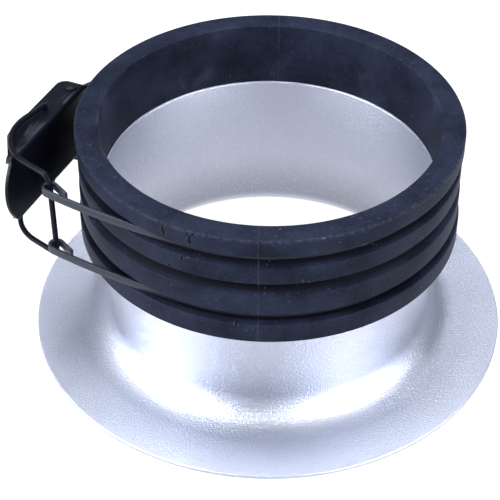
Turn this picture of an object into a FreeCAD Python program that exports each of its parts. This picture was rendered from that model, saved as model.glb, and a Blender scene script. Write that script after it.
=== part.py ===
import FreeCAD
import Part

import math
import os

from FreeCAD import Vector

# A clamp-on adapter ring: a spun metal flange ring, a ribbed rubber collar on its neck, and a lever clamp.
# Millimetres and degrees. The origin is on the ring's axis at the underside of its flange, with +Z up the neck.
# Angles are measured from +X towards +Y.

# Flange ring
FLANGE_R = 72.0
SHEET = 1.2
NECK_R = 49.4
NECK_TOP = 52.0
FLARE_R = 9.5
RIM_ROUND = 0.5
FLANGE_EDGE_ROUND = 0.35

# Rubber collar
SOCKET_R = 48.8
SEAT_GAP = 0.05
COLLAR_BOTTOM = 37.2
COLLAR_TOP = 72.3
TOP_EDGE_ROUND = 0.4
RIB_ROUND = 0.45
GROOVE_ROUND = 0.3
GROOVE_R = 52.3
# Each rib from the top down: its radius, the height of its face's top and of its flat underside.
RIBS = [(55.6, COLLAR_TOP, 66.9), (55.3, 62.9, 57.3), (55.5, 53.3, 46.6), (56.0, 43.6, COLLAR_BOTTOM)]
# How far each groove's floor runs down from the rib above before it slopes out.
GROOVE_FLOORS = [2.7, 2.2, 2.7]

# Clamp straps: two flat steel bands in the first and third grooves
STRAP_THICK = 0.9
STRAP_TALL = 2.4
STRAP_BOTTOMS = {"upper": 64.4, "lower": 44.1}
HOOP_R = 52.9
SPLIT_ANGLE = -12.0
SPLIT_GAP = 0.3
SWEEP_R = 225.0
EYE_R = 1.85
EYE_TURN = 198.0
TAIL_LENGTH = 5.2
ROD_X, ROD_Y = -59.9, -26.2
LOOP_TURN = 290.0
LOOP_GAP = 0.1

# Lever: a bent sheet channel, open on the side away from the collar, turning on a riveted pin
PIVOT_X, PIVOT_Y = -59.0, 18.9
LEVER_ANGLE = 247.0
LEVER_SHEET = 1.0
LEVER_BOTTOM = 47.4
LEVER_TOP = 68.7
LEVER_BEND = 1.2
LEVER_HEEL = -2.8
LEVER_SHOULDER = 38.0
LEVER_TIP = 42.6
FLANGE_WIDE = 8.1
FLANGE_NARROW = 2.7
TAPER_START = 28.0
TAPER_END = 36.5
HEEL_ROUND = 3.0
TAPER_ROUND = 6.0
PIVOT_SETBACK = 3.1
PIN_R = 1.0
PIN_HEAD_R = 1.9
PIN_HEAD = 0.6
PIN_GAP = 0.05
SPACER_R = 1.8
SPACER_GAP = 0.05

# Bail: one bent wire whose ends turn into holes in the lever's flanges
WIRE_R = 0.8
BAIL_HOLE_GAP = 0.05
BAIL_OUT, BAIL_ALONG = 4.5, 12.7
ELBOW_OUT, ELBOW_ALONG = 9.4, 34.8
ELBOW_ROUND = 16.0
ROD_BEND_TOP = 3.0
ROD_BEND_BOTTOM = 1.5
ARM_TOP = 70.2
ARM_BOTTOM = 42.5
END_GAP = 0.1

OVERSIZE = 5.0
FULL_TURN = 360.0

PIVOT = Vector(PIVOT_X, PIVOT_Y, 0)
ROD = Vector(ROD_X, ROD_Y, 0)


def heading(angle):
    return Vector(math.cos(math.radians(angle)), math.sin(math.radians(angle)), 0)


def angle_of(v):
    return math.degrees(math.atan2(v.y, v.x))


def arc_length(radius, turn):
    return radius * math.radians(turn)


def rounded_edges(corners, closed):
    """Straight edges between corners of (point, radius), with an arc of that radius at each."""
    count = len(corners)
    bends = []
    for i, (point, radius) in enumerate(corners):
        end = not closed and i in (0, count - 1)
        if end or radius == 0:
            bends.append((point, None, point))
            continue
        back = (corners[i - 1][0] - point).normalize()
        ahead = (corners[(i + 1) % count][0] - point).normalize()
        half = back.getAngle(ahead) / 2
        middle = (back + ahead).normalize()
        reach = radius / math.tan(half)
        crown = radius / math.sin(half) - radius
        bends.append((point + back * reach, point + middle * crown, point + ahead * reach))
    edges = []
    for i, (start, crown, finish) in enumerate(bends):
        if crown:
            edges.append(Part.Arc(start, crown, finish).toShape())
        if i < count - 1 or closed:
            edges.append(Part.makeLine(finish, bends[(i + 1) % count][0]))
    return edges


def turned(profile):
    """Revolve a closed profile of (radius, height, corner radius) about the axis."""
    corners = [(Vector(r, 0, z), bend) for r, z, bend in profile]
    face = Part.Face(Part.Wire(rounded_edges(corners, True)))
    return face.revolve(Vector(), Vector(0, 0, 1), FULL_TURN)


def shifted_path(start, angle, moves, shift):
    """A plan path of (length, turn) moves, shifted to its left: its edges and its end points."""
    edges = []
    point = start
    ends = [start + heading(angle + 90) * shift]
    for length, turn in moves:
        if turn == 0:
            point = point + heading(angle) * length
            ends.append(point + heading(angle + 90) * shift)
            edges.append(Part.makeLine(ends[-2], ends[-1]))
            continue
        way = math.copysign(90, turn)
        radius = length / math.radians(abs(turn))
        centre = point + heading(angle + way) * radius
        reach = radius - shift * math.copysign(1, turn)
        middle = centre + heading(angle + turn / 2 - way) * reach
        angle += turn
        point = centre + heading(angle - way) * radius
        ends.append(centre + heading(angle - way) * reach)
        edges.append(Part.Arc(ends[-2], middle, ends[-1]).toShape())
    return edges, ends[0], ends[-1]


def band(start, angle, moves, bottom):
    """A flat strap standing on edge along a plan path."""
    left, left_start, left_finish = shifted_path(start, angle, moves, STRAP_THICK / 2)
    right, right_start, right_finish = shifted_path(start, angle, moves, -STRAP_THICK / 2)
    caps = [Part.makeLine(left_start, right_start), Part.makeLine(left_finish, right_finish)]
    face = Part.Face(Part.Wire(Part.__sortEdges__(left + right + caps)))
    face.translate(Vector(0, 0, bottom))
    return face.extrude(Vector(0, 0, STRAP_TALL))


def post(x, y, radius, bottom, top):
    return Part.makeCylinder(radius, top - bottom, Vector(x, y, bottom))


def on_lever(shape):
    """Place a shape drawn with X out of the channel and Y towards its free end."""
    shape.translate(Vector(-PIVOT_SETBACK, 0, 0))
    shape.rotate(Vector(), Vector(0, 0, 1), LEVER_ANGLE - 90)
    shape.translate(PIVOT)
    return shape


def lever_point(out, along):
    side = heading(LEVER_ANGLE - 90) * (out - PIVOT_SETBACK)
    return PIVOT + side + heading(LEVER_ANGLE) * along


def flange_ring():
    """Flat flange, concave flare and straight neck, all one spun sheet."""
    inner = NECK_R - SHEET
    return turned(
        [
            (FLANGE_R, 0, FLANGE_EDGE_ROUND),
            (FLANGE_R, SHEET, FLANGE_EDGE_ROUND),
            (NECK_R, SHEET, FLARE_R),
            (NECK_R, NECK_TOP, RIM_ROUND),
            (inner, NECK_TOP, RIM_ROUND),
            (inner, 0, FLARE_R + SHEET),
        ]
    )


def rubber_collar():
    """Four ribs with flat undersides. The bore steps in over the neck's rim, which stops the collar."""
    seat = NECK_R + SEAT_GAP
    profile = [
        (seat, COLLAR_BOTTOM, RIB_ROUND),
        (seat, NECK_TOP + SEAT_GAP, 0),
        (SOCKET_R, NECK_TOP + SEAT_GAP, 0),
        (SOCKET_R, COLLAR_TOP, TOP_EDGE_ROUND),
    ]
    for (radius, top, under), floor in zip(RIBS, GROOVE_FLOORS + [None]):
        crest = TOP_EDGE_ROUND if top == COLLAR_TOP else RIB_ROUND
        profile.append((radius, top, crest))
        profile.append((radius, under, RIB_ROUND))
        if floor:
            profile.append((GROOVE_R, under, GROOVE_ROUND))
            profile.append((GROOVE_R, under - floor, GROOVE_ROUND))
    return turned(profile)


def strap_rear(level):
    """From the split round the back of the hoop, straight to the pivot and once round the pin."""
    loop_r = PIN_R + LOOP_GAP + STRAP_THICK / 2
    leave = angle_of(PIVOT) - math.degrees(math.acos((HOOP_R - loop_r) / PIVOT.Length))
    straight = math.sqrt(PIVOT.Length ** 2 - (HOOP_R - loop_r) ** 2)
    turn = leave - SPLIT_ANGLE
    moves = [
        (arc_length(HOOP_R, turn), turn),
        (straight, 0),
        (arc_length(loop_r, LOOP_TURN), LOOP_TURN),
    ]
    return band(heading(SPLIT_ANGLE) * HOOP_R, SPLIT_ANGLE + 90, moves, STRAP_BOTTOMS[level])


def strap_hook(level):
    """From the split round the front of the hoop, out along a wide curve and back round the bail's rod."""
    spread = SWEEP_R - HOOP_R
    toward = ((SWEEP_R - EYE_R) ** 2 - spread ** 2 - ROD.Length ** 2) / (2 * spread)
    leave = angle_of(ROD) + math.degrees(math.acos(toward / ROD.Length))
    sweep_centre = heading(leave) * -spread
    arrive = angle_of(ROD - sweep_centre)
    start = SPLIT_ANGLE - math.degrees(SPLIT_GAP / HOOP_R)
    hoop_turn = (start - leave) % FULL_TURN
    sweep_turn = (leave - arrive) % FULL_TURN
    moves = [
        (arc_length(HOOP_R, hoop_turn), -hoop_turn),
        (arc_length(SWEEP_R, sweep_turn), -sweep_turn),
        (arc_length(EYE_R, EYE_TURN), -EYE_TURN),
        (TAIL_LENGTH, 0),
    ]
    return band(heading(start) * HOOP_R, start - 90, moves, STRAP_BOTTOMS[level])


def lever():
    """A channel with tapering flanges and a bowed free end, drilled for the pin and the bail."""
    web = [
        (Vector(0, LEVER_HEEL, LEVER_BOTTOM), LEVER_BEND),
        (Vector(0, LEVER_HEEL, LEVER_TOP), LEVER_BEND),
        (Vector(FLANGE_WIDE, LEVER_HEEL, LEVER_TOP), 0),
        (Vector(FLANGE_WIDE, LEVER_HEEL, LEVER_BOTTOM), 0),
    ]
    length = Vector(0, LEVER_TIP - LEVER_HEEL, 0)
    outside = Part.Face(Part.Wire(rounded_edges(web, True))).extrude(length)
    inner_bend = LEVER_BEND - LEVER_SHEET
    reach = FLANGE_WIDE + OVERSIZE
    hollow = [
        (Vector(LEVER_SHEET, LEVER_HEEL, LEVER_BOTTOM + LEVER_SHEET), inner_bend),
        (Vector(LEVER_SHEET, LEVER_HEEL, LEVER_TOP - LEVER_SHEET), inner_bend),
        (Vector(reach, LEVER_HEEL, LEVER_TOP - LEVER_SHEET), 0),
        (Vector(reach, LEVER_HEEL, LEVER_BOTTOM + LEVER_SHEET), 0),
    ]
    channel = outside.cut(Part.Face(Part.Wire(rounded_edges(hollow, True))).extrude(length))
    plan = [
        (Vector(0, LEVER_HEEL, 0), 0),
        (Vector(FLANGE_WIDE, LEVER_HEEL, 0), HEEL_ROUND),
        (Vector(FLANGE_WIDE, TAPER_START, 0), TAPER_ROUND),
        (Vector(FLANGE_NARROW, TAPER_END, 0), TAPER_ROUND),
        (Vector(LEVER_SHEET, LEVER_TIP, 0), 0),
        (Vector(0, LEVER_TIP, 0), 0),
    ]
    plan_face = Part.Face(Part.Wire(rounded_edges(plan, True)))
    shape = channel.common(plan_face.extrude(Vector(0, 0, LEVER_TOP + OVERSIZE)))
    middle = (LEVER_BOTTOM + LEVER_TOP) / 2
    heel_low = Vector(0, LEVER_HEEL, LEVER_BOTTOM)
    heel_high = Vector(0, LEVER_HEEL, LEVER_TOP)
    high = Vector(0, LEVER_SHOULDER, LEVER_TOP)
    low = Vector(0, LEVER_SHOULDER, LEVER_BOTTOM)
    side = Part.Wire(
        [
            Part.makeLine(low, heel_low),
            Part.makeLine(heel_low, heel_high),
            Part.makeLine(heel_high, high),
            Part.Arc(high, Vector(0, LEVER_TIP, middle), low).toShape(),
        ]
    )
    shape = shape.common(Part.Face(side).extrude(Vector(FLANGE_WIDE, 0, 0)))
    for out, along, radius in (
        (PIVOT_SETBACK, 0, PIN_R + PIN_GAP),
        (BAIL_OUT, BAIL_ALONG, WIRE_R + BAIL_HOLE_GAP),
    ):
        shape = shape.cut(post(out, along, radius, LEVER_BOTTOM - OVERSIZE, LEVER_TOP + OVERSIZE))
    return on_lever(shape)


def pivot_pin():
    """A riveted pin through both flanges and both strap loops, with a flat head at each end."""
    bottom = STRAP_BOTTOMS["lower"] - END_GAP
    shaft = post(PIVOT_X, PIVOT_Y, PIN_R, bottom - PIN_HEAD, LEVER_TOP + PIN_HEAD)
    upper = post(PIVOT_X, PIVOT_Y, PIN_HEAD_R, LEVER_TOP, LEVER_TOP + PIN_HEAD)
    lower = post(PIVOT_X, PIVOT_Y, PIN_HEAD_R, bottom - PIN_HEAD, bottom)
    return shaft.fuse([upper, lower]).removeSplitter()


def pivot_spacer():
    """A tube on the pin, from the lower flange up to the upper strap's loop."""
    bottom = LEVER_BOTTOM + LEVER_SHEET + END_GAP
    top = STRAP_BOTTOMS["upper"] - SPACER_GAP
    tube = post(PIVOT_X, PIVOT_Y, SPACER_R, bottom, top)
    return tube.cut(post(PIVOT_X, PIVOT_Y, PIN_R + LOOP_GAP, bottom, top))


def bail_wire():
    """Both arms and the rod between them, one bent wire. Each arm ends in an elbow over its flange hole."""
    end = lever_point(BAIL_OUT, BAIL_ALONG)
    elbow = lever_point(ELBOW_OUT, ELBOW_ALONG)
    up = Vector(0, 0, ARM_TOP)
    down = Vector(0, 0, ARM_BOTTOM)
    corners = [
        (end + up, 0),
        (elbow + up, ELBOW_ROUND),
        (ROD + up, ROD_BEND_TOP),
        (ROD + down, ROD_BEND_BOTTOM),
        (elbow + down, ELBOW_ROUND),
        (end + down, 0),
    ]
    path = Part.Wire(rounded_edges(corners, False))
    ring = Part.Wire(Part.makeCircle(WIRE_R, end + up, elbow - end))
    wire = path.makePipeShell([ring], True, False)
    upper = post(end.x, end.y, WIRE_R, ARM_TOP - WIRE_R, ARM_TOP)
    lower = post(end.x, end.y, WIRE_R, ARM_BOTTOM, ARM_BOTTOM + WIRE_R)
    balls = [Part.makeSphere(WIRE_R, end + up), Part.makeSphere(WIRE_R, end + down)]
    return wire.fuse([upper, lower] + balls).removeSplitter()


def bail_end(level):
    """The last stretch of the bail's wire, which turns in its hole in the lever's flange."""
    end = lever_point(BAIL_OUT, BAIL_ALONG)
    if level == "upper":
        return post(end.x, end.y, WIRE_R, LEVER_TOP - LEVER_SHEET, ARM_TOP - WIRE_R - END_GAP)
    return post(end.x, end.y, WIRE_R, ARM_BOTTOM + WIRE_R + END_GAP, LEVER_BOTTOM + LEVER_SHEET)


def build():
    nodes = {
        "flange_ring": flange_ring(),
        "rubber_collar": rubber_collar(),
        "lever": lever(),
        "pivot_pin": pivot_pin(),
        "pivot_spacer": pivot_spacer(),
        "bail_wire": bail_wire(),
    }
    for level in STRAP_BOTTOMS:
        nodes["strap_" + level + "_rear"] = strap_rear(level)
        nodes["strap_" + level + "_hook"] = strap_hook(level)
        nodes["bail_end_" + level] = bail_end(level)
    os.makedirs("parts", exist_ok=True)
    for name, shape in nodes.items():
        shape.exportStep("parts/" + name + ".step")
        print(name, "valid" if shape.isValid() else "NOT VALID", len(shape.Solids), round(shape.Volume, 2))


build()
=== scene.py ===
import math

import bmesh
import bpy
from mathutils import Matrix, Vector


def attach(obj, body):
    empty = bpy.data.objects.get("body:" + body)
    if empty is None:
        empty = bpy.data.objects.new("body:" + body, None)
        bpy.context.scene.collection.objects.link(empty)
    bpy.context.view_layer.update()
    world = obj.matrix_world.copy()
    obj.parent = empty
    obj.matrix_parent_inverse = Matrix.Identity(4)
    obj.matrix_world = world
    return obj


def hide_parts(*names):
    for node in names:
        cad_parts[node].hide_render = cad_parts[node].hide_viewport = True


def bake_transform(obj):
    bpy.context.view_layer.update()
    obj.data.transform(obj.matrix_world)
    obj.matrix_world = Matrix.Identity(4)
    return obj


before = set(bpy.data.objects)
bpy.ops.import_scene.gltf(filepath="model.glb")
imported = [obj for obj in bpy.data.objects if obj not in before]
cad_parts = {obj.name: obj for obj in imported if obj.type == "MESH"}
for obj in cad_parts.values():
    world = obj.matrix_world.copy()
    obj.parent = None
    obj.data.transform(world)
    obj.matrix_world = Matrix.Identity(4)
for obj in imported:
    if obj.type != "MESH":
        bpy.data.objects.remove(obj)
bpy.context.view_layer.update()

mm = 0.001
upward = Vector((0, 0, 1))
weldGap = 0.002 * mm


# helpers for modelling in edit mode

def along(degrees):
    return Vector((math.cos(math.radians(degrees)), math.sin(math.radians(degrees)), 0))


def degreesOf(v):
    return math.degrees(math.atan2(v.y, v.x))


def startEditing(name):
    piece = bpy.context.object
    piece.name = name
    piece.data.name = name
    bpy.ops.object.mode_set(mode="EDIT")
    return piece


def pickVertex(piece, *places):
    mesh = bmesh.from_edit_mesh(piece.data)
    bpy.ops.mesh.select_all(action="DESELECT")
    for place in places:
        min(mesh.verts, key=lambda vert: (vert.co - place).length).select = True
    bmesh.update_edit_mesh(piece.data)


def goStraight(move):
    bpy.ops.mesh.extrude_region_move(TRANSFORM_OT_translate={"value": move})


def goRound(centre, axis, degrees, steps):
    # positive degrees turn anticlockwise, seen from the tip of the axis
    bpy.ops.mesh.spin(steps=steps, angle=-math.radians(degrees), center=centre, axis=axis)


def finishPiece(smoothAngle):
    bpy.ops.mesh.select_all(action="SELECT")
    bpy.ops.mesh.remove_doubles(threshold=weldGap)
    bpy.ops.mesh.select_all(action="DESELECT")
    bpy.ops.mesh.select_non_manifold(extend=False)
    bpy.ops.mesh.fill_holes(sides=0)
    bpy.ops.mesh.select_all(action="SELECT")
    bpy.ops.mesh.normals_make_consistent(inside=False)
    bpy.ops.object.mode_set(mode="OBJECT")
    bpy.ops.object.transform_apply(location=True, rotation=True, scale=True)
    bpy.ops.object.shade_smooth_by_angle(angle=math.radians(smoothAngle))


def applyModifier(piece, kind, **values):
    modifier = piece.modifiers.new(kind, kind)
    for key, value in values.items():
        setattr(modifier, key, value)
    bpy.context.view_layer.objects.active = piece
    bpy.ops.object.modifier_apply(modifier=modifier.name)


# shader maths: an expression on values adds its Math nodes

class Value:
    def __init__(self, shader, socket):
        self.shader = shader
        self.socket = socket

    def maths(self, operation, *values):
        return self.shader.maths(operation, *values)

    def __add__(self, other):
        return self.maths("ADD", self, other)

    def __radd__(self, other):
        return self.maths("ADD", other, self)

    def __sub__(self, other):
        return self.maths("SUBTRACT", self, other)

    def __rsub__(self, other):
        return self.maths("SUBTRACT", other, self)

    def __mul__(self, other):
        return self.maths("MULTIPLY", self, other)

    def __rmul__(self, other):
        return self.maths("MULTIPLY", other, self)

    def __truediv__(self, other):
        return self.maths("DIVIDE", self, other)

    def __pow__(self, other):
        return self.maths("POWER", self, other)

    def __abs__(self):
        return self.maths("ABSOLUTE", self)


class Shader:
    def __init__(self, name):
        self.material = bpy.data.materials.new(name)
        self.material.use_nodes = True
        self.tree = self.material.node_tree
        self.surface = self.tree.nodes["Principled BSDF"]
        self.place = self.node("ShaderNodeTexCoord", {}, {}, "Object")

    def node(self, kind, settings, sockets, output=0):
        made = self.tree.nodes.new(kind)
        for key, value in settings.items():
            setattr(made, key, value)
        for key, value in sockets.items():
            self.join(made.inputs[key], value)
        return Value(self, made.outputs[output])

    def maths(self, operation, *values):
        return self.node("ShaderNodeMath", {"operation": operation}, dict(enumerate(values)))

    def join(self, socket, value):
        if isinstance(value, Value):
            self.tree.links.new(value.socket, socket)
        else:
            socket.default_value = value

    def set(self, **values):
        for key, value in values.items():
            self.join(self.surface.inputs[key.replace("_", " ")], value)

    def noise(self, scale, detail=2.0, roughness=0.5):
        sockets = {"Vector": self.place, "Scale": scale, "Detail": detail, "Roughness": roughness}
        return self.node("ShaderNodeTexNoise", {}, sockets, "Fac")

    def fade(self, value, low, high):  # 0 at low, 1 at high, smooth between
        sockets = {"Value": value, "From Min": low, "From Max": high}
        return self.node("ShaderNodeMapRange", {"interpolation_type": "SMOOTHSTEP"}, sockets)

    def blotches(self, scale, detail, roughness, low, high):
        return self.fade(self.noise(scale, detail, roughness), low, high)

    def split(self):
        parts = self.tree.nodes.new("ShaderNodeSeparateXYZ")
        self.tree.links.new(self.place.socket, parts.inputs[0])
        return [Value(self, socket) for socket in parts.outputs]

    def stretched(self, scale):
        return self.node("ShaderNodeMapping", {}, {"Vector": self.place, "Scale": scale})

    def mix(self, share, first, second):
        made = self.tree.nodes.new("ShaderNodeMix")
        made.data_type = "RGBA"  # its colours are sockets 6 and 7, and output 2
        self.join(made.inputs["Factor"], share)
        self.join(made.inputs[6], first)
        self.join(made.inputs[7], second)
        return Value(self, made.outputs[2])

    def bump(self, height, strength, distance, normal=None):
        sockets = {"Height": height, "Strength": strength, "Distance": distance}
        if normal:
            sockets["Normal"] = normal
        return self.node("ShaderNodeBump", {}, sockets)


# finishes

metalLook = {
    "tint": (0.46, 0.49, 0.59, 1), "pale": (0.54, 0.57, 0.67, 1), "patches": 45,
    "spark": (0.80, 0.82, 0.88, 1), "sparkBand": (0.50, 0.70), "sparkShare": 0.30,
    "roughness": 0.26, "grain": 1700, "grainDepth": 0.24 * mm,
    "ringSpacing": 0.25 * mm, "ringDepth": 0.010 * mm, "ringWander": 0.3 * mm,
    "scratchStretch": (900, 60, 60), "scratchBand": (0.73, 0.78), "scratchDepth": 0.02 * mm,
    # painted shade on the lower neck, seen from inside, darker towards the bottom: from none of it
    # to all of it
    "paintedShade": (0.22, 0.23, 0.29, 1), "paintedShadeShare": 0.8,
    "paintedShadeRadii": (50.0 * mm, 48.4 * mm), "paintedShadeHeights": (26 * mm, 4 * mm),
}


def makeSpunAluminium():
    look = metalLook
    metal = Shader("spunAluminium")
    x, y, z = metal.split()
    radius = (x * x + y * y) ** 0.5
    cloudy = metal.noise(look["patches"], 3.0)
    grain = metal.noise(look["grain"], 3.0, 0.7)
    spark = metal.fade(grain, *look["sparkBand"]) * look["sparkShare"]
    wander = metal.noise(120, 2.0) * look["ringWander"]
    inside = metal.fade(radius, *look["paintedShadeRadii"]) * metal.fade(z, *look["paintedShadeHeights"])
    rings = metal.maths("SINE", (radius + z + wander) * (math.tau / look["ringSpacing"]))
    sockets = {"Vector": metal.stretched(look["scratchStretch"]), "Scale": 1.0, "Detail": 1.0}
    scratch = metal.node("ShaderNodeTexNoise", {}, sockets, "Fac")
    marks = metal.fade(scratch, *look["scratchBand"])
    base = metal.mix(cloudy, look["tint"], look["pale"])
    # painted shade: the lower inside of the neck darkened where it would mirror the bright floor
    base = metal.mix(inside * look["paintedShadeShare"], base, look["paintedShade"])
    metal.set(Metallic=1.0, Base_Color=metal.mix(spark, base, look["spark"]))
    metal.set(Roughness=look["roughness"] + cloudy * 0.06 + grain * 0.10 - marks * 0.05)
    fine = metal.bump(grain, 0.9, look["grainDepth"])
    turned = metal.bump(rings, 1.0, look["ringDepth"], fine)
    metal.set(Normal=metal.bump(1 - marks, 0.25, look["scratchDepth"], turned))
    return metal.material


rubberLook = {
    "dark": (0.0025, 0.0036, 0.009, 1), "light": (0.0108, 0.0140, 0.0290, 1),
    "dustAndHighlight": (0.10, 0.11, 0.15, 1), "sheen": (0.72, 0.84, 1, 1), "gloss": 0.09,
    # crack: painted shade inside the cracks
    # groove: painted shade on the grooves' floors, under the ribs
    "groove": (0.002, 0.002, 0.004, 1), "crackShade": (0.0002, 0.0002, 0.0004, 1),
    "roughness": 0.50, "mottle": 70, "grain": 1500, "grainDepth": 0.03 * mm,
    "seamAngle": 267.2, "seamHalf": 0.12 * mm, "seamDepth": 0.10 * mm,
    # blotches: scale, detail and roughness of the noise, where it begins, where it is full
    "speckGrains": (1500, 1.0, 0.5, 0.70, 0.78), "speckPatches": (160, 2.0, 0.5, 0.50, 0.62),
    "seamBreaks": (500, 2.0, 0.5, 0.30, 0.55), "smudges": (34, 5.0, 0.65, 0.50, 0.72),
    "crestBreaks": (900, 3.0, 0.7, 0.42, 0.60),
    # how much of the dust colour each mark takes; along the crest it is dust and a painted
    # highlight
    "speckShare": 0.5, "seamShare": 0.17, "smudgeShare": 0.16, "crestDustAndHighlightShare": 0.12,
    "tornShare": 0.14,
    # bands of radius or height in which a mark or the painted groove shade fades, from none of it
    # to all of it
    "grooveRadii": (55.0 * mm, 53.4 * mm), "boreStep": (51.2 * mm, 51.8 * mm),
    "grooveHeights": (68.2 * mm, 67.5 * mm), "smudgeRadii": (49.6 * mm, 49.0 * mm),
    "crestRadii": (54.8 * mm, 55.3 * mm), "crestHeight": 72.0 * mm, "crestHalf": 0.9 * mm,
    # each crack: its angle, the height of its middle, half its height, half its width, its lean
    "cracks": [
        (240.3, 69.8, 2.3, 0.30, 0.25), (248.3, 69.2, 1.9, 0.34, 0.05),
        (247.6, 71.4, 1.0, 0.22, 0.7), (249.2, 71.5, 1.1, 0.20, -0.8),
        (245.6, 62.0, 1.3, 0.26, -0.1), (241.7, 58.2, 1.0, 0.30, 0.9),
        (261.2, 43.2, 0.8, 0.26, 0.3), (261.0, 37.6, 0.9, 0.24, 0.0),
    ],
    "crackBeyond": 54.2 * mm, "crackWaver": 1.6 * mm, "crackDepth": 0.5 * mm,
}


def makeBlackRubber():
    look = rubberLook
    rubber = Shader("blackRubber")
    x, y, z = rubber.split()
    radius = (x * x + y * y) ** 0.5
    acrossSeam = along(look["seamAngle"] + 90)
    mottle = rubber.noise(look["mottle"], 4.0, 0.6)
    grain = rubber.noise(look["grain"], 2.0, 0.6)
    specks = rubber.blotches(*look["speckGrains"]) * rubber.blotches(*look["speckPatches"])
    fromSeam = abs(x * acrossSeam.x + y * acrossSeam.y)
    seam = 1 - rubber.fade(fromSeam, look["seamHalf"] * 0.4, look["seamHalf"])
    seam = seam * rubber.blotches(*look["seamBreaks"])
    jagged = (rubber.noise(700, 3.0, 0.6) - 0.5) * look["crackWaver"]
    cracked, torn = 0, 0
    for angle, middle, halfHeight, halfWidth, lean in look["cracks"]:
        out, side = along(angle), along(angle + 90)
        half = halfWidth * mm
        lift = z - middle * mm
        drift = abs(x * side.x + y * side.y + lift * lean + jagged * 0.5)
        taper = 1 - rubber.fade(abs(lift), 0, halfHeight * mm)
        line = 1 - rubber.fade(drift / (taper + 0.15), half * 0.9, half * 1.5)
        lip = 1 - rubber.fade(drift / (taper + 0.3), half * 1.8, half * 2.8)
        outside = rubber.maths("GREATER_THAN", x * out.x + y * out.y, look["crackBeyond"])
        ahead = outside * rubber.fade(taper, 0, 0.1)
        cracked = rubber.maths("MAXIMUM", line * ahead, cracked)
        torn = rubber.maths("MAXIMUM", lip * ahead, torn)
    # painted shade on the grooves' floors, where the rib above overhangs them
    grooveShadeMask = rubber.fade(radius, *look["grooveRadii"]) * rubber.fade(radius, *look["boreStep"])
    grooveShadeMask = grooveShadeMask * rubber.fade(z, *look["grooveHeights"])
    smudged = rubber.blotches(*look["smudges"]) * rubber.fade(radius, *look["smudgeRadii"])
    # dust and a painted highlight along the top face's outer edge, broken by noise
    crestDustAndHighlight = 1 - rubber.fade(abs(z - look["crestHeight"]), 0, look["crestHalf"])
    crestDustAndHighlight = crestDustAndHighlight * rubber.fade(radius, *look["crestRadii"])
    crestDustAndHighlight = crestDustAndHighlight * rubber.blotches(*look["crestBreaks"])
    dustAndCrestHighlight = specks * look["speckShare"] + seam * look["seamShare"]
    dustAndCrestHighlight = dustAndCrestHighlight + smudged * look["smudgeShare"] + crestDustAndHighlight * look["crestDustAndHighlightShare"]
    frayed = torn * rubber.fade(grain, 0.40, 0.58) * look["tornShare"]
    base = rubber.mix(rubber.fade(mottle + grain * 0.6, 0.52, 1.08), look["dark"], look["light"])
    # the grooves' painted shade
    base = rubber.mix(grooveShadeMask, base, look["groove"])
    # dust specks, seam and smudges, and along the crest dust with a painted highlight
    base = rubber.mix(dustAndCrestHighlight, base, look["dustAndHighlight"])
    base = rubber.mix(frayed, base, look["dustAndHighlight"])
    # painted shade inside the cracks: near black along each crack line
    rubber.set(Base_Color=rubber.mix(cracked, base, look["crackShade"]))
    rubber.set(Roughness=look["roughness"] + mottle * 0.14 + specks * 0.2)
    rubber.set(Specular_IOR_Level=look["gloss"], Specular_Tint=look["sheen"])
    skin = rubber.bump(grain + mottle * 2, 0.5, look["grainDepth"])
    raised = rubber.bump(seam, 0.5, look["seamDepth"], skin)
    rubber.set(Normal=rubber.bump(1 - cracked, 1.0, look["crackDepth"], raised))
    return rubber.material


paintLook = {
    "colour": (0.0025, 0.0027, 0.005, 1), "worn": (0.05, 0.05, 0.07, 1), "roughness": 0.30,
    "sheen": (0.72, 0.84, 1, 1), "gloss": 0.11,
}
strapLook = {
    "colour": (0.006, 0.0065, 0.010, 1), "worn": (0.08, 0.08, 0.11, 1), "roughness": 0.36,
    "sheen": (0.60, 0.76, 1, 1), "gloss": 0.55,
}
paintWear = {"edges": (0.53, 0.60), "patches": (0.40, 0.65), "share": 0.5, "peelDepth": 0.03 * mm}


def makePaint(name, look):
    paint = Shader(name)
    peel = paint.noise(900, 3.0, 0.55)
    cloudy = paint.noise(120, 3.0)
    edge = paint.node("ShaderNodeNewGeometry", {}, {}, "Pointiness")
    rubbed = paint.fade(edge, *paintWear["edges"]) * paint.fade(cloudy, *paintWear["patches"])
    paint.set(Base_Color=paint.mix(rubbed * paintWear["share"], look["colour"], look["worn"]))
    paint.set(Roughness=look["roughness"] + cloudy * 0.12, Specular_IOR_Level=look["gloss"])
    paint.set(Specular_Tint=look["sheen"])
    paint.set(Normal=paint.bump(peel, 0.25, paintWear["peelDepth"]))
    return paint.material


def cover(piece, material):
    piece.data.materials.clear()
    piece.data.materials.append(material)


def dress(piece, material, body, *nodes, slotName):
    cover(piece, material)
    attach(piece, body)
    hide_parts(*nodes)


spunAluminium = makeSpunAluminium()
blackRubber = makeBlackRubber()
blackPaint = makePaint("blackPaint", paintLook)
strapPaint = makePaint("strapPaint", strapLook)
print("finishes made")


# turned pieces: a profile of (radius, height, corner radius) spun round the axis

turnSize = {
    "steps": 288, "smoothAngle": 40,
    # a bend larger than this has more segments
    "largeBend": 5 * mm, "largeSegments": 20, "smallSegments": 5,
}


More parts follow.
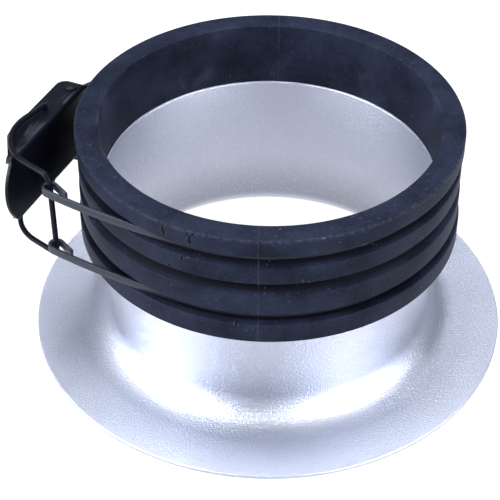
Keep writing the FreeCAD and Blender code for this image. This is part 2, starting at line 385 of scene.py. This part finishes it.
def turnProfile(name, profile):
    size = turnSize
    places = [Vector((r * mm, 0, z * mm)) for r, z, bend in profile]
    bpy.ops.object.select_all(action="DESELECT")
    bpy.ops.mesh.primitive_plane_add(size=mm, location=(0, 0, 0))
    piece = startEditing(name)
    bpy.ops.mesh.merge(type="CENTER")
    bpy.ops.transform.translate(value=places[0])
    for here, there in zip(places, places[1:]):
        goStraight(there - here)
    pickVertex(piece, places[0], places[-1])
    bpy.ops.mesh.edge_face_add()
    for i, place in enumerate(places):
        bend = profile[i][2] * mm
        if bend == 0:
            continue
        back = (places[i - 1] - place).normalized()
        ahead = (places[(i + 1) % len(places)] - place).normalized()
        reach = bend / math.tan(back.angle(ahead) / 2)
        pickVertex(piece, place)
        large = bend > size["largeBend"]
        segments = size["largeSegments"] if large else size["smallSegments"]
        bpy.ops.mesh.bevel(offset=reach, segments=segments, affect="VERTICES", clamp_overlap=False)
    bpy.ops.mesh.select_all(action="SELECT")
    goRound((0, 0, 0), upward, 360, size["steps"])
    finishPiece(size["smoothAngle"])
    return piece


ringSize = {
    "flangeRadius": 72.0, "neckTop": 52.0, "neckRadius": 49.4, "sheet": 1.2, "flare": 9.5,
    "rimRound": 0.5, "edgeRound": 0.35,
}


def makeFlangeRing():
    size = ringSize
    inner = size["neckRadius"] - size["sheet"]
    profile = [
        (size["flangeRadius"], 0, size["edgeRound"]),
        (size["flangeRadius"], size["sheet"], size["edgeRound"]),
        (size["neckRadius"], size["sheet"], size["flare"]),
        (size["neckRadius"], size["neckTop"], size["rimRound"]),
        (inner, size["neckTop"], size["rimRound"]),
        (inner, 0, size["flare"] + size["sheet"]),
    ]
    ring = turnProfile("flangeRing", profile)
    dress(ring, spunAluminium, "base", "flange_ring", slotName="spun_aluminium")


collarSize = {
    "bore": 48.8, "seat": 49.45, "seatTop": 52.05, "bottom": 37.2, "top": 72.3,
    "topRound": 0.4, "ribRound": 0.5, "grooveRound": 0.35, "grooveRadius": 52.3,
    # each rib, from the top down: its radius, the top of its face, its flat underside and
    # the length of the groove's floor below it
    "ribs": [
        (55.6, 72.3, 66.9, 2.7), (55.3, 62.9, 57.3, 2.2),
        (55.5, 53.3, 46.6, 2.7), (56.0, 43.6, 37.2, 0),
    ],
}


def makeCollar():
    size = collarSize
    profile = [
        (size["seat"], size["bottom"], size["ribRound"]),
        (size["seat"], size["seatTop"], 0),
        (size["bore"], size["seatTop"], 0),
        (size["bore"], size["top"], size["topRound"]),
    ]
    for radius, top, under, floor in size["ribs"]:
        crestDustAndHighlight = size["topRound"] if top == size["top"] else size["ribRound"]
        profile += [(radius, top, crestDustAndHighlight), (radius, under, size["ribRound"])]
        if floor:
            deep, bend = size["grooveRadius"], size["grooveRound"]
            profile += [(deep, under, bend), (deep, under - floor, bend)]
    collar = turnProfile("rubberCollar", profile)
    dress(collar, blackRubber, "base", "rubber_collar", slotName="black_rubber")


makeFlangeRing()
makeCollar()
print("flange ring and collar turned")


# the latch: everything is placed from the lever's pivot and the bail's rod

latchSize = {
    "pivot": Vector((-59.0, 18.9, 0)), "rod": Vector((-59.9, -26.2, 0)),
    "leverAngle": 247.0, "setback": 3.1,
}

strapSize = {
    "thick": 0.9, "tall": 2.4, "edgeRound": 0.16, "hoop": 52.9, "loop": 1.55, "loopTurn": 290.0,
    "sweep": 225.0, "eye": 1.85, "eyeTurn": 198.0, "tail": 5.2,
    "bottoms": {"upper": 64.4, "lower": 44.1},
    "edgeSegments": 2, "loopSteps": 40, "hoopSteps": 160, "sweepSteps": 24, "eyeSteps": 32,
    "smoothAngle": 40,
}


def makeStrap(level):
    size = strapSize
    pivot, rod = latchSize["pivot"], latchSize["rod"]
    middle = upward * (size["bottoms"][level] + size["tall"] / 2)
    rearRun = size["hoop"] - size["loop"]
    leaveRear = degreesOf(pivot) - math.degrees(math.acos(rearRun / pivot.length))
    spread = size["sweep"] - size["hoop"]
    toward = ((size["sweep"] - size["eye"]) ** 2 - spread ** 2 - rod.length ** 2) / (2 * spread)
    leaveFront = degreesOf(rod) + math.degrees(math.acos(toward / rod.length))
    sweepCentre = along(leaveFront) * -spread
    arrive = degreesOf(rod - sweepCentre) % 360
    begin = leaveRear + size["loopTurn"]
    bpy.ops.object.select_all(action="DESELECT")
    bpy.ops.mesh.primitive_plane_add(
        size=mm, location=(pivot + along(begin) * size["loop"] + middle) * mm,
        rotation=(math.pi / 2, 0, math.radians(begin)))
    bpy.context.object.scale = (size["thick"], size["tall"], 1)
    bpy.ops.object.transform_apply(location=True, rotation=True, scale=True)
    strap = startEditing(level + "Strap")
    bpy.ops.mesh.select_all(action="SELECT")
    bpy.ops.mesh.bevel(
        offset=size["edgeRound"] * mm, segments=size["edgeSegments"], affect="VERTICES")
    bpy.ops.mesh.select_all(action="SELECT")
    bpy.ops.mesh.delete(type="ONLY_FACE")
    bpy.ops.mesh.select_all(action="SELECT")
    goRound(pivot * mm, upward, -size["loopTurn"], size["loopSteps"])
    goStraight((along(leaveRear) * rearRun - pivot) * mm)
    goRound((0, 0, 0), upward, -((leaveRear - leaveFront) % 360), size["hoopSteps"])
    goRound(sweepCentre * mm, upward, -((leaveFront - arrive) % 360), size["sweepSteps"])
    goRound(rod * mm, upward, -size["eyeTurn"], size["eyeSteps"])
    goStraight(along(arrive - size["eyeTurn"] - 90) * (size["tail"] * mm))
    finishPiece(size["smoothAngle"])
    cover(strap, strapPaint)
    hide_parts("strap_" + level + "_rear", "strap_" + level + "_hook")
    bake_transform(strap)


bailSize = {
    "wire": 0.8, "out": 4.5, "along": 12.7, "elbowOut": 9.4, "elbowAlong": 34.8, "elbowRound": 16.0,
    "topBend": 3.0, "bottomBend": 1.5, "endBend": 0.85, "armTop": 70.2, "armBottom": 42.5,
    "sides": 20, "endSteps": 8, "elbowSteps": 18, "topSteps": 12, "bottomSteps": 10,
    "smoothAngle": 50,
}


def leverPlace(out, length):
    angle = latchSize["leverAngle"]
    outward = along(angle - 90) * (out - latchSize["setback"])
    return latchSize["pivot"] + outward + along(angle) * length


def makeBail():
    size = bailSize
    rod = latchSize["rod"]
    end = leverPlace(size["out"], size["along"])
    elbow = leverPlace(size["elbowOut"], size["elbowAlong"])
    first, second = (elbow - end).normalized(), (rod - elbow).normalized()
    firstPole, secondPole = upward.cross(first), upward.cross(second)
    turn = math.degrees(first.angle(second))
    reach = size["elbowRound"] * math.tan(math.radians(turn) / 2)
    top, bottom = upward * size["armTop"], upward * size["armBottom"]
    topBend, bottomBend, endBend = size["topBend"], size["bottomBend"], size["endBend"]
    fillet = elbow - first * reach + firstPole * size["elbowRound"]
    firstRun = (elbow - end).length - reach - endBend
    secondRun = (rod - elbow).length - reach
    rise = size["armBottom"] - size["armTop"] + topBend + bottomBend
    start = end + top - upward * endBend
    topEnd = start + first * endBend
    bottomEnd = end + first * endBend + bottom + upward * endBend
    topCorner = rod - second * topBend + top - upward * topBend
    bottomCorner = rod - second * bottomBend + bottom + upward * bottomBend
    bpy.ops.object.select_all(action="DESELECT")
    bpy.ops.mesh.primitive_circle_add(
        vertices=size["sides"], radius=size["wire"] * mm, location=start * mm)
    bail = startEditing("bailWire")
    bpy.ops.mesh.select_all(action="SELECT")
    goRound(topEnd * mm, firstPole, 90, size["endSteps"])
    goStraight(first * firstRun * mm)
    goRound((fillet + top) * mm, upward, turn, size["elbowSteps"])
    goStraight(second * (secondRun - topBend) * mm)
    goRound(topCorner * mm, secondPole, 90, size["topSteps"])
    goStraight(upward * (rise * mm))
    goRound(bottomCorner * mm, secondPole, 90, size["bottomSteps"])
    goStraight(second * (bottomBend - secondRun) * mm)
    goRound((fillet + bottom) * mm, upward, -turn, size["elbowSteps"])
    goStraight(first * -firstRun * mm)
    goRound(bottomEnd * mm, firstPole, 90, size["endSteps"])
    finishPiece(size["smoothAngle"])
    dress(bail, blackPaint, "bail", "bail_wire", slotName="black_steel")


softenSize = {
    "weldGap": 0.001 * mm, "flatAngle": 0.5, "edgeAngle": 40, "edgeSegments": 3,
    "smoothAngle": 35,
    # each CAD node: the piece's name and how wide its edges are eased
    "pieces": {
        "lever": ("latchLever", 0.28), "pivot_pin": ("pivotPin", 0.22),
        "pivot_spacer": ("spacerTube", 0.12), "bail_end_upper": ("bailEndUpper", 0.1),
        "bail_end_lower": ("bailEndLower", 0.1),
    },
}


def makeSoftened(node):
    # a copy of the CAD piece with its edges eased, as pressed and painted steel has them
    size = softenSize
    name, width = size["pieces"][node]
    bpy.ops.object.select_all(action="DESELECT")
    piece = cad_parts[node].copy()
    piece.data = piece.data.copy()
    bpy.context.collection.objects.link(piece)
    bpy.context.view_layer.objects.active = piece
    piece.select_set(True)
    startEditing(name)
    bpy.ops.mesh.select_all(action="SELECT")
    bpy.ops.mesh.remove_doubles(threshold=size["weldGap"])
    bpy.ops.mesh.dissolve_limited(angle_limit=math.radians(size["flatAngle"]))
    bpy.ops.object.mode_set(mode="OBJECT")
    applyModifier(
        piece, "BEVEL", width=width * mm, segments=size["edgeSegments"], limit_method="ANGLE",
        angle_limit=math.radians(size["edgeAngle"]), use_clamp_overlap=True)
    bpy.ops.object.shade_smooth_by_angle(angle=math.radians(size["smoothAngle"]))
    dress(piece, blackPaint, "lever", node, slotName="black_steel")


for level in strapSize["bottoms"]:
    makeStrap(level)
makeBail()
for node in softenSize["pieces"]:
    makeSoftened(node)
print("latch made")


# studio

studioSize = {
    "floor": 4.0, "paper": (0.12, 0.12, 0.12, 1), "glow": (1, 1, 1, 1), "glowStrength": 0.96,
    "eye": Vector((0, -339.4, 310.0)), "aim": Vector((0, 0, 28.0)),
    "lens": 104.6, "shift": (-0.0379, -0.0270), "roll": 0.62, "lampAim": Vector((0, 0, 0.03)),
    "airColour": (0.84, 0.89, 1.0), "airFront": 0.10, "airBack": 0.46, "airSlant": -0.4,
    "airReach": 0.8,
}

# each lamp: its name, its place, its two sides, its power, its colour
studioLamps = [
    ("leftLamp", (-0.84, -0.42, 0.42), (0.45, 0.75), 22, (0.97, 0.98, 1)),
    ("rightLamp", (0.72, -0.58, 0.42), (0.45, 0.75), 17, (0.97, 0.98, 1)),
    ("topLamp", (0, 0.20, 0.95), (0.7, 0.5), 13, (0.95, 0.97, 1)),
]


def makeFloor():
    size = studioSize
    bpy.ops.object.select_all(action="DESELECT")
    bpy.ops.mesh.primitive_plane_add(size=size["floor"], location=(0, 0, 0))
    floor = bpy.context.object
    floor.name = floor.data.name = "studioFloor"
    paper = Shader("studioPaper")
    paper.set(Base_Color=size["paper"], Roughness=0.9, Specular_IOR_Level=0.1)
    paper.set(Emission_Color=size["glow"], Emission_Strength=size["glowStrength"])
    cover(floor, paper.material)


def makeLamp(name, place, sides, power, colour):
    bpy.ops.object.light_add(type="AREA", location=place)
    lamp = bpy.context.object
    lamp.name = name
    lamp.data.shape = "RECTANGLE"
    lamp.data.size, lamp.data.size_y = sides
    lamp.data.energy = power
    lamp.data.color = colour
    facing = studioSize["lampAim"] - Vector(place)
    lamp.rotation_euler = facing.to_track_quat("-Z", "Y").to_euler()


def makeCamera():
    size = studioSize
    bpy.ops.object.camera_add(location=size["eye"] * mm)
    camera = bpy.context.object
    facing = (size["aim"] - size["eye"]).to_track_quat("-Z", "Y").to_matrix().to_4x4()
    roll = Matrix.Rotation(math.radians(size["roll"]), 4, "Z")
    camera.rotation_euler = (facing @ roll).to_euler()
    camera.data.lens = size["lens"]
    camera.data.shift_x, camera.data.shift_y = size["shift"]
    bpy.context.scene.camera = camera


def makeAir():
    # the room: dim behind the camera, brighter behind the piece and towards its left
    size = studioSize
    world = bpy.data.worlds.new("studioAir")
    world.use_nodes = True
    nodes, links = world.node_tree.nodes, world.node_tree.links
    way = nodes.new("ShaderNodeTexCoord")
    split = nodes.new("ShaderNodeSeparateXYZ")
    slant = nodes.new("ShaderNodeMath")
    slant.operation = "MULTIPLY_ADD"
    slant.inputs[1].default_value = size["airSlant"]
    depth = nodes.new("ShaderNodeMapRange")
    depth.inputs["From Min"].default_value = -size["airReach"]
    depth.inputs["From Max"].default_value = size["airReach"]
    depth.inputs["To Min"].default_value = size["airFront"]
    depth.inputs["To Max"].default_value = size["airBack"]
    sky = nodes["Background"]
    sky.inputs["Color"].default_value = (*size["airColour"], 1)
    links.new(way.outputs["Generated"], split.inputs[0])
    links.new(split.outputs["X"], slant.inputs[0])
    links.new(split.outputs["Y"], slant.inputs[2])
    links.new(slant.outputs[0], depth.inputs["Value"])
    links.new(depth.outputs[0], sky.inputs["Strength"])
    bpy.context.scene.world = world


makeFloor()
makeCamera()
for lamp in studioLamps:
    makeLamp(*lamp)
makeAir()
bpy.context.scene.view_settings.view_transform = "Standard"
print("studio lit")
